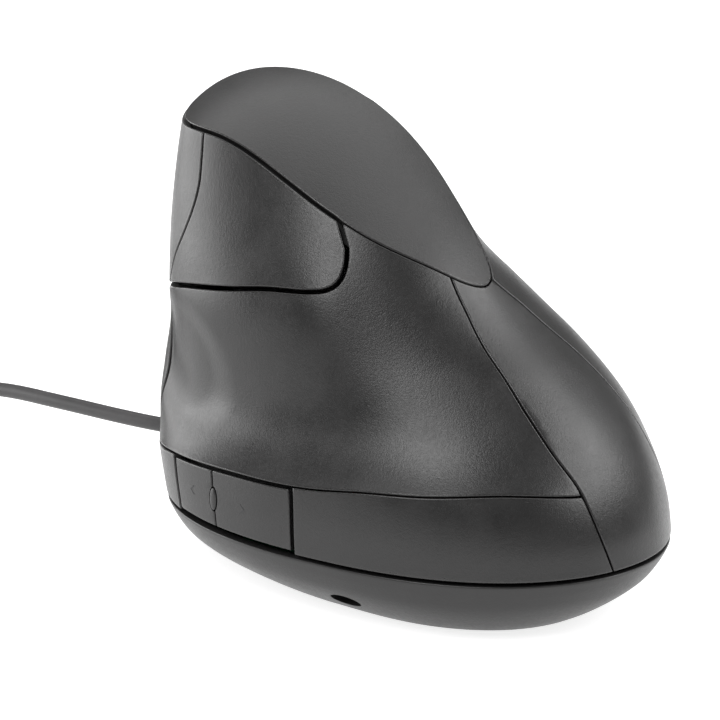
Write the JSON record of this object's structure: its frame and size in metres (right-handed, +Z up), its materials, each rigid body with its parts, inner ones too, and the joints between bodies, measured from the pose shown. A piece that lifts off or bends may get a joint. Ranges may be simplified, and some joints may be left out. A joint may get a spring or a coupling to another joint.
{
  "type": "vertical computer mouse",
  "caption": "Right-handed vertical wired computer mouse: slanted saddle-shaped top, dished thumb rest with two thumb buttons, finger buttons with a scroll wheel, bowl base, cord and plug.",
  "frame": {"origin": "centre of the footprint of the mouse without its cord, on the surface it stands on", "axes": "+Y forwards to the nose where the cord leaves, +X to the finger side, +Z up"},
  "size_m": [0.0996, 0.2406, 0.0854],
  "materials": {
    "shell_plastic": "fine-grained soft matte",
    "button_plastic": "fine-grained soft matte",
    "glide_foot": "smooth low-friction",
    "circuit_board": "solder mask",
    "chip_epoxy": "matte",
    "connector_plastic": "satin",
    "capacitor_can": "satin sleeve",
    "lamp_epoxy": "clear red",
    "clear_lens": "polished clear",
    "plated_steel": "plated",
    "screw_steel": "zinc plated",
    "inner_plastic": "moulded",
    "switch_case": "moulded",
    "plunger_plastic": "moulded",
    "wheel_plastic": "moulded",
    "wheel_rubber": "ribbed",
    "ribbon_vinyl": "flexible flat lead",
    "cord_vinyl": "satin"
  },
  "bodies": {
    "case": {"side_cheek": "shell_plastic", "thumb_rest": "shell_plastic", "left_skirt": "shell_plastic", "thumb_marker": "button_plastic", "finger_side_shell": "shell_plastic", "nose_strip": "shell_plastic", "wheel_surround": "shell_plastic", "rear_cover": "shell_plastic", "top_cover": "shell_plastic", "base": "shell_plastic", "foot_front": "glide_foot", "foot_rear": "glide_foot", "foot_left": "glide_foot", "foot_right": "glide_foot", "main_board": "circuit_board", "optical_sensor": "chip_epoxy", "controller_chip": "chip_epoxy", "cord_connector": "connector_plastic", "flank_connector": "connector_plastic", "capacitor": "capacitor_can", "lamp": "lamp_epoxy", "lens": "clear_lens", "dpi_switch": "plated_steel", "board_screw_1": "screw_steel", "board_screw_2": "screw_steel", "board_screw_3": "screw_steel", "case_screw_1": "screw_steel", "case_screw_2": "screw_steel", "finger_stand": "inner_plastic", "finger_board": "circuit_board", "index_switch": "switch_case", "middle_switch": "switch_case", "wheel_switch": "switch_case", "thumb_board": "circuit_board", "thumb_front_switch": "switch_case", "thumb_rear_switch": "switch_case", "flank_ribbon": "ribbon_vinyl", "strain_relief": "cord_vinyl", "cord": "cord_vinyl", "cord_leads": "cord_vinyl", "cord_coil": "cord_vinyl", "plug_grip": "cord_vinyl", "plug_shell": "plated_steel"},
    "index_key": {"index_button": "button_plastic"},
    "middle_key": {"middle_button": "button_plastic"},
    "thumb_front_key": {"thumb_button_front": "button_plastic"},
    "thumb_rear_key": {"thumb_button_rear": "button_plastic"},
    "wheel_carrier": {"wheel_cradle": "inner_plastic", "wheel_encoder": "switch_case"},
    "wheel": {"wheel_hub": "wheel_plastic", "wheel_tyre": "wheel_rubber"},
    "index_plunger": {"index_plunger": "plunger_plastic"},
    "middle_plunger": {"middle_plunger": "plunger_plastic"},
    "wheel_plunger": {"wheel_plunger": "plunger_plastic"},
    "thumb_front_plunger": {"thumb_front_plunger": "plunger_plastic"},
    "thumb_rear_plunger": {"thumb_rear_plunger": "plunger_plastic"},
    "dpi_slider": {"dpi_slider": "button_plastic"}
  },
  "joints": [
    {"name": "index_press", "type": "hinge", "parent": "case", "child": "index_key", "pos_m": [0.02334, 0.00287, 0.0504], "axis": [-0.2976, 0.4364, 0.8491], "range_deg": [0, 0.8], "stiffness_Nm_per_rad": 1.2, "springref_deg": -0.34},
    {"name": "middle_press", "type": "hinge", "parent": "case", "child": "middle_key", "pos_m": [0.03048, -0.0079, 0.0322], "axis": [-0.3008, 0.3493, 0.8874], "range_deg": [0, 0.7], "stiffness_Nm_per_rad": 1.2, "springref_deg": -0.34},
    {"name": "thumb_front_press", "type": "slide", "parent": "case", "child": "thumb_front_key", "axis": [0.9038, -0.428, 0.005], "range_m": [0, 0.0005], "stiffness_N_per_m": 900, "springref_m": -0.0003},
    {"name": "thumb_rear_press", "type": "slide", "parent": "case", "child": "thumb_rear_key", "axis": [0.981, -0.1898, -0.0399], "range_m": [0, 0.0005], "stiffness_N_per_m": 900, "springref_m": -0.0003},
    {"name": "wheel_click", "type": "slide", "parent": "case", "child": "wheel_carrier", "axis": [-0.9272, 0, -0.3746], "range_m": [0, 0.0004], "stiffness_N_per_m": 2200, "springref_m": -0.0003},
    {"name": "wheel_spin", "type": "hinge", "parent": "wheel_carrier", "child": "wheel", "pos_m": [0.01935, 0.02647, 0.042], "axis": [-0.3746, 0, 0.9272], "continuous": true},
    {"name": "index_plunger_slide", "type": "slide", "parent": "case", "child": "index_plunger", "axis": [-0.9272, 0, -0.3746], "range_m": [0, 0.0003]},
    {"name": "middle_plunger_slide", "type": "slide", "parent": "case", "child": "middle_plunger", "axis": [-0.9272, 0, -0.3746], "range_m": [0, 0.00045]},
    {"name": "wheel_plunger_slide", "type": "slide", "parent": "case", "child": "wheel_plunger", "axis": [-0.9272, 0, -0.3746], "range_m": [0, 0.0004]},
    {"name": "thumb_front_plunger_slide", "type": "slide", "parent": "case", "child": "thumb_front_plunger", "axis": [0.9453, -0.3261, 0], "range_m": [0, 0.0005]},
    {"name": "thumb_rear_plunger_slide", "type": "slide", "parent": "case", "child": "thumb_rear_plunger", "axis": [0.9453, -0.3261, 0], "range_m": [0, 0.0005]},
    {"name": "dpi_slide", "type": "slide", "parent": "case", "child": "dpi_slider", "axis": [0, 1, 0], "range_m": [-0.0011, 0.0011]}
  ],
  "couplings": [
    {"joint": "index_plunger_slide", "follows": "index_press", "m_per_rad": 0.0177},
    {"joint": "middle_plunger_slide", "follows": "middle_press", "m_per_rad": 0.0325},
    {"joint": "wheel_plunger_slide", "follows": "wheel_click", "ratio": 1},
    {"joint": "thumb_front_plunger_slide", "follows": "thumb_front_press", "ratio": 1},
    {"joint": "thumb_rear_plunger_slide", "follows": "thumb_rear_press", "ratio": 1}
  ]
}
